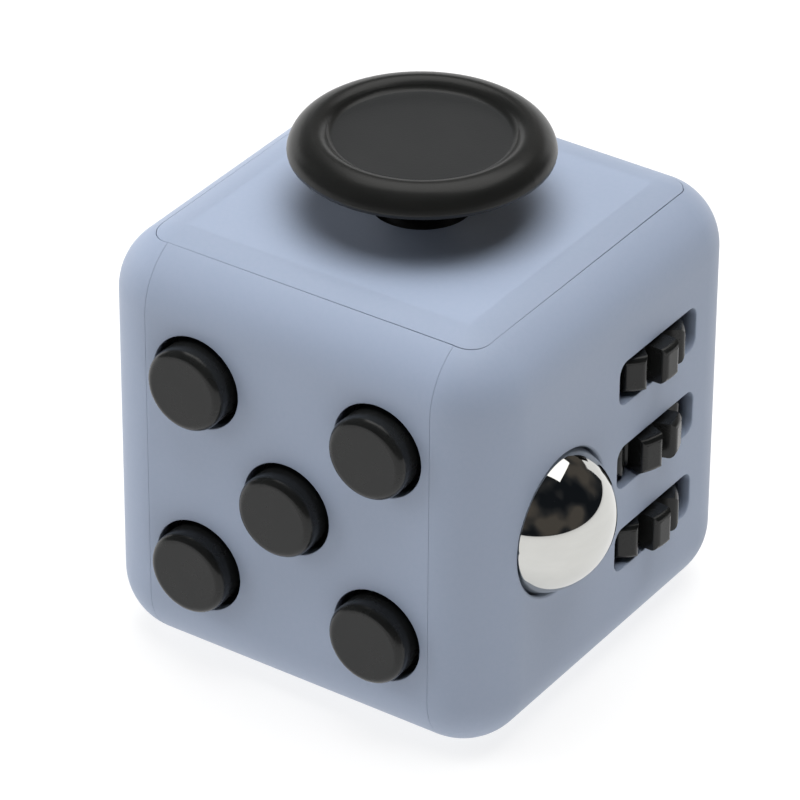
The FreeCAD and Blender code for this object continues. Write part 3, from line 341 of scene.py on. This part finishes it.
EDGE_ROUND = 5 * MM       # the cube's rounded edges
SAME_POINT = 1e-7         # points nearer than this are one point
FLAT = math.radians(0.1)  # faces that meet at less than this are one face
SHARP = math.radians(30)  # edges that turn by less than this are part of a curve
SEAM_REACH = 0.15 * MM    # a wall nearer than this is across a seam
SEAM_EDGE = 0.015 * MM    # the rounding of an edge along a seam
SURFACE_SLACK = 0.03 * MM
FACING_OUT = 0.5          # the cosine beyond which a face belongs to the outer surface
ROUND_STEPS = 3           # faces across a rounded edge
BALL_CUTS = 47            # cuts across each sixth of the ball

EDGE_RADIUS = {
    **{name: 0.12 * MM for name in SHELLS},
    "rocker_switch": 0.2 * MM,
}

BUTTONS = ("centre", "upper_left", "upper_right", "lower_left", "lower_right")
REPLACED = ["roller_ball", "ball_click_dome", "joystick_spring"] + ["dome_" + key for key in BUTTONS]


def add_piece(mesh, name, body, slot):
    """A new piece that stands for a CAD node."""
    piece = linked(mesh.name, mesh)
    mesh.materials.clear()
    mesh.materials.append(FINISHES[slot])
    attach(piece, body)
    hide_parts(name)
    return piece


def outward(point):
    """The direction out of the rounded cube at a point, and how far the point is under its surface."""
    core = CUBE_HALF - EDGE_ROUND
    offset = point - CUBE_MIDDLE
    inside = Vector(max(-core, min(core, value)) for value in offset)
    across = offset - inside
    return across.normalized(), EDGE_ROUND - across.length


def wall_tree(name):
    """A search tree of every outer shell but one."""
    bm = bmesh.new()
    for other in SHELLS:
        if other != name:
            bm.from_mesh(NODES[other].data)
    tree = BVHTree.FromBMesh(bm)
    bm.free()
    return tree


def rounding(edge, walls, radius):
    """The share of the radius that an edge gets. walls is the tree of the shells round a shell, or None.

    A shell is only rounded where it can be seen: the edges of its inner side stay as they are, and
    the two sides of a seam keep nearly sharp edges, so the seam stays as narrow as it is.
    """
    if len(edge.link_faces) != 2 or edge.calc_face_angle() < SHARP:
        return 0.0
    if not walls:
        return 1.0
    if not all(abs(outward(vertex.co)[1]) < SURFACE_SLACK for vertex in edge.verts):
        return 0.0
    centre = (edge.verts[0].co + edge.verts[1].co) / 2
    across = walls.find_nearest(centre, SEAM_REACH)[0]
    return 1.0 if across is None else SEAM_EDGE / radius


def edge_mesh(name, radius):
    """A copy of a node's mesh whose sharp edges carry the share of the radius that they are rounded by."""
    bm = bmesh.new()
    bm.from_mesh(NODES[name].data)
    bmesh.ops.remove_doubles(bm, verts=bm.verts, dist=SAME_POINT)
    bmesh.ops.dissolve_limit(bm, angle_limit=FLAT, verts=bm.verts, edges=bm.edges)
    weight = bm.edges.layers.float.new("bevel_weight_edge")
    walls = wall_tree(name) if name in SHELLS else None
    for edge in bm.edges:
        edge.smooth = True
        edge[weight] = rounding(edge, walls, radius)
    for face in bm.faces:
        face.smooth = True
    return mesh_from(bm, "edges_" + name)


def rounded_mesh(name, radius):
    """The node's mesh with its sharp edges rounded, as a mesh of its own."""
    rough = linked("rough_" + name, edge_mesh(name, radius))
    bevel = rough.modifiers.new("rounded edges", "BEVEL")
    bevel.limit_method = "WEIGHT"
    bevel.width = radius
    bevel.segments = ROUND_STEPS
    bevel.use_clamp_overlap = False
    bevel.miter_outer = "MITER_ARC"
    bevel.loop_slide = False
    weigh = rough.modifiers.new("flat faces stay flat", "WEIGHTED_NORMAL")
    weigh.keep_sharp = True
    ready = rough.evaluated_get(bpy.context.evaluated_depsgraph_get())
    mesh = bpy.data.meshes.new_from_object(ready)
    mesh.name = "fine_" + name
    bpy.data.objects.remove(rough)
    return mesh


def true_normals(mesh):
    """Shades the outer surface by the rounded cube's own normals, so no facet shows."""
    normals = [Vector(corner.vector) for corner in mesh.corner_normals]
    for face in mesh.polygons:
        for loop in face.loop_indices:
            point = mesh.vertices[mesh.loops[loop].vertex_index].co
            direction, depth = outward(point)
            if abs(depth) < SURFACE_SLACK and face.normal.dot(direction) > FACING_OUT:
                normals[loop] = direction
    mesh.normals_split_custom_set(normals)


def moulded(name, radius):
    """A finer copy of a CAD node, with its sharp edges rounded as a mould leaves them."""
    node = NODES[name]
    mesh = rounded_mesh(name, radius)
    if name in SHELLS:
        true_normals(mesh)
    add_piece(mesh, name, node["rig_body"], node.data.materials[0].name)


def polished_ball():
    """The ball as an even mesh of quads on a true sphere: a cube's six grids, bent outwards."""
    node = NODES["roller_ball"]
    centre = middle("roller_ball")
    low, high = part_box("roller_ball")
    radius = (high.z - low.z) / 2
    bm = bmesh.new()
    bmesh.ops.create_cube(bm, size=2)
    bmesh.ops.subdivide_edges(bm, edges=bm.edges, cuts=BALL_CUTS, use_grid_fill=True)
    for vertex in bm.verts:
        bend = Vector(math.tan(value * math.pi / 4) for value in vertex.co)
        vertex.co = centre + bend.normalized() * radius
    mesh = mesh_from(bm, "fine_roller_ball")
    points = [mesh.vertices[corner.vertex_index].co for corner in mesh.loops]
    mesh.normals_split_custom_set([(point - centre).normalized() for point in points])
    add_piece(mesh, "roller_ball", node["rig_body"], "ball_steel")


def giving_way(name):
    """A dome or spring, as a copy of its CAD mesh on a piece of its own."""
    node = NODES[name]
    mesh = node.data.copy()
    mesh.name = "fine_" + name
    piece = add_piece(mesh, name, node["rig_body"], node.data.materials[0].name)
    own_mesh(piece)


polished_ball()
for key in BUTTONS:
    giving_way("dome_" + key)
giving_way("ball_click_dome")
giving_way("joystick_spring")
for name, node in sorted(NODES.items()):
    if name in EDGE_RADIUS:
        moulded(name, EDGE_RADIUS[name])
    elif name not in REPLACED:
        node.material_slots[0].material = FINISHES[node.data.materials[0].name]


# ---------------------------------------------------------------- stage, lights and camera

TABLE_GAP = 0.02 * MM     # keeps the base and the table from sharing one plane
TABLE_HALF = 2.0
PANEL_HEIGHT = 0.6        # of the level lights, above the middle of the cube

ROOM_NOISE = {"Scale": 1.8, "Detail": 1.5}     # a few large, soft shapes
ROOM_DARK = (0.40, (0.010, 0.012, 0.015, 1))   # a value of the noise, and the colour there
ROOM_GREY = (0.50, (0.028, 0.029, 0.031, 1))
ROOM_BROWN = (0.64, (0.090, 0.080, 0.070, 1))


def bright_white(name):
    """Matte white that shines mostly by itself, so its brightness is even."""
    shine = {"Emission_Color": (1, 1, 1, 1), "Emission_Strength": 0.8}
    return Paint(name, Roughness=0.9, Base_Color=(0.25, 0.248, 0.245, 1), **shine).material


def floor():
    """A plain pale table, wide enough to fill every view."""
    bm = bmesh.new()
    bmesh.ops.create_grid(bm, x_segments=8, y_segments=8, size=TABLE_HALF)
    mesh = mesh_from(bm, "table")
    table = linked("table", mesh)
    table.location.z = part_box("bottom_lid")[0].z - TABLE_GAP
    mesh.materials.append(bright_white("table_white"))


def sweep():
    """A low white paper backdrop that curves round behind the cube and to its left."""
    radius, height, steps = 0.85, 0.3, 40
    first, arc = 165, 105
    levels = (0.0, height / 2, height)
    bm = bmesh.new()
    rows = []
    for step in range(steps + 1):
        foot = CUBE_MIDDLE + towards(first + arc * step / steps, 0) * radius
        rows.append([bm.verts.new((foot.x, foot.y, z)) for z in levels])
    for one, two in zip(rows, rows[1:]):
        for low in range(len(levels) - 1):
            bm.faces.new((one[low], two[low], two[low + 1], one[low + 1]))
    mesh = mesh_from(bm, "sweep")
    paper = linked("sweep", mesh)
    mesh.materials.append(bright_white("sweep_white"))


def room():
    """A dim room round the table: large, soft, dark, grey and brown shapes."""
    world = bpy.data.worlds.new("room")
    bpy.context.scene.world = world
    world.use_nodes = True
    tree = world.node_tree
    back = tree.nodes["Background"]
    place = tree.nodes.new("ShaderNodeTexCoord").outputs["Generated"]
    shapes = tree.nodes.new("ShaderNodeTexNoise")
    for socket, value in ROOM_NOISE.items():
        shapes.inputs[socket].default_value = value
    tones = tree.nodes.new("ShaderNodeValToRGB")
    ramp = tones.color_ramp
    ramp.elements[0].position, ramp.elements[0].color = ROOM_DARK
    ramp.elements[1].position, ramp.elements[1].color = ROOM_BROWN
    ramp.elements.new(ROOM_GREY[0]).color = ROOM_GREY[1]
    tree.links.new(place, shapes.inputs["Vector"])
    tree.links.new(shapes.outputs["Fac"], tones.inputs["Fac"])
    tree.links.new(tones.outputs["Color"], back.inputs["Color"])
    back.inputs["Strength"].default_value = 1.0


def panel(name, offset, angles, size, strength, tint, glossy):
    """A rectangle of light at an offset from the cube's middle; the camera does not see it."""
    data = bpy.data.lights.new(name, "AREA")
    data.shape = "RECTANGLE"
    data.size, data.size_y = size
    data.energy = strength
    data.color = tint
    lamp = linked(name, data)
    lamp.location = CUBE_MIDDLE + offset
    lamp.rotation_euler = angles
    lamp.visible_glossy = glossy
    lamp.visible_camera = False


def overhead(name, place, turn, size, strength, tint, glossy=True):
    """A level panel above the table, at x and y from the cube's middle, turned by some degrees."""
    offset = Vector((*place, PANEL_HEIGHT))
    panel(name, offset, (0, 0, math.radians(turn)), size, strength, tint, glossy)


def sideways(name, azimuth, elevation, distance, size, strength, tint, glossy=True):
    """A panel that faces the cube from one side."""
    out = towards(azimuth, elevation)
    panel(name, out * distance, out.to_track_quat("Z", "Y").to_euler(), size, strength, tint, glossy)


def camera():
    """A long lens at the front right, looking down on the cube."""
    azimuth, elevation, roll = 34.02, 32.42, math.radians(0.35)
    distance = 389.1 * MM
    aside, above = -1.42 * MM, 0.26 * MM
    back = towards(azimuth, elevation)
    right = Vector((0, 0, 1)).cross(back).normalized()
    up = back.cross(right)
    right, up = (
        right * math.cos(roll) + up * math.sin(roll),
        up * math.cos(roll) - right * math.sin(roll),
    )
    data = bpy.data.cameras.new("camera")
    data.lens = 246.8
    data.sensor_width = 36
    data.clip_start, data.clip_end = 0.01, 20
    eye = linked("camera", data)
    turn = Matrix((right, up, back)).transposed().to_4x4()
    place = CUBE_MIDDLE + back * distance + right * aside + up * above
    eye.matrix_world = Matrix.Translation(place) @ turn
    bpy.context.scene.camera = eye


WARM_WHITE, COOL_WHITE, COLD_WHITE = (1.0, 0.99, 0.97), (0.98, 0.99, 1.0), (0.97, 0.98, 1.0)

floor()
sweep()
room()
overhead("softbox", place=(-0.07, 0.288), turn=17.3, size=(0.66, 0.56), strength=2.2, tint=WARM_WHITE)
overhead("ceiling", place=(0.03, 0.0), turn=0, size=(0.5, 0.5), strength=4.0, tint=COOL_WHITE, glossy=False)
sideways("left fill", azimuth=-68, elevation=18, distance=0.8,
         size=(0.6, 0.6), strength=3.0, tint=COLD_WHITE, glossy=False)
camera()
bpy.context.scene.view_settings.view_transform = "Standard"
